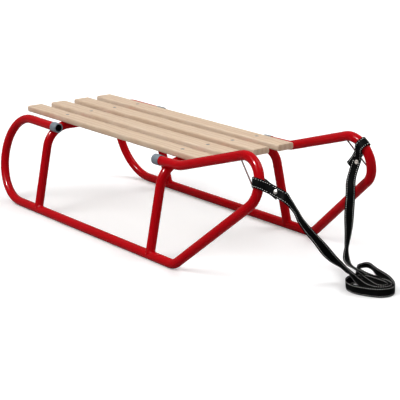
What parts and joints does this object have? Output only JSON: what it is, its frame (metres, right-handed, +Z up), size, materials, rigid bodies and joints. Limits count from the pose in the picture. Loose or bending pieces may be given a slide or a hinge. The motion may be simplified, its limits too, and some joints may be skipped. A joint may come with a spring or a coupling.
{
  "type": "sled",
  "caption": "Child's sled with bent steel tube runners, upturned front horns, a slatted wooden seat and a webbing pull strap.",
  "frame": {"origin": "on the floor, in the middle of the sled's length and width, the strap left out", "axes": "+X the way the sled travels, towards the horns; +Y its left side; +Z up"},
  "size_m": [1.128, 0.3896, 0.2708],
  "materials": {
    "red_steel": "gloss red powder coat",
    "wire": "dark wire",
    "beech": "clear satin varnish",
    "grey_plastic": "matte grey",
    "webbing": "black woven webbing with pale stitching",
    "rivet": "nickel"
  },
  "bodies": {
    "root": {"runner_left": "red_steel", "runner_right": "red_steel", "arch_rear": "red_steel", "arch_front": "red_steel", "keeper_left": "wire", "keeper_right": "wire", "slat_1": "beech", "slat_2": "beech", "slat_3": "beech", "slat_4": "beech", "ferrule_rear_left": "grey_plastic", "ferrule_rear_right": "grey_plastic", "ferrule_front_left": "grey_plastic", "ferrule_front_right": "grey_plastic", "strap_loop_left": "webbing", "strap_loop_right": "webbing", "strap_leg_left": "webbing", "strap_leg_right": "webbing", "strap_coil": "webbing", "strap_rivet_left": "rivet", "strap_rivet_right": "rivet"}
  },
  "joints": []
}
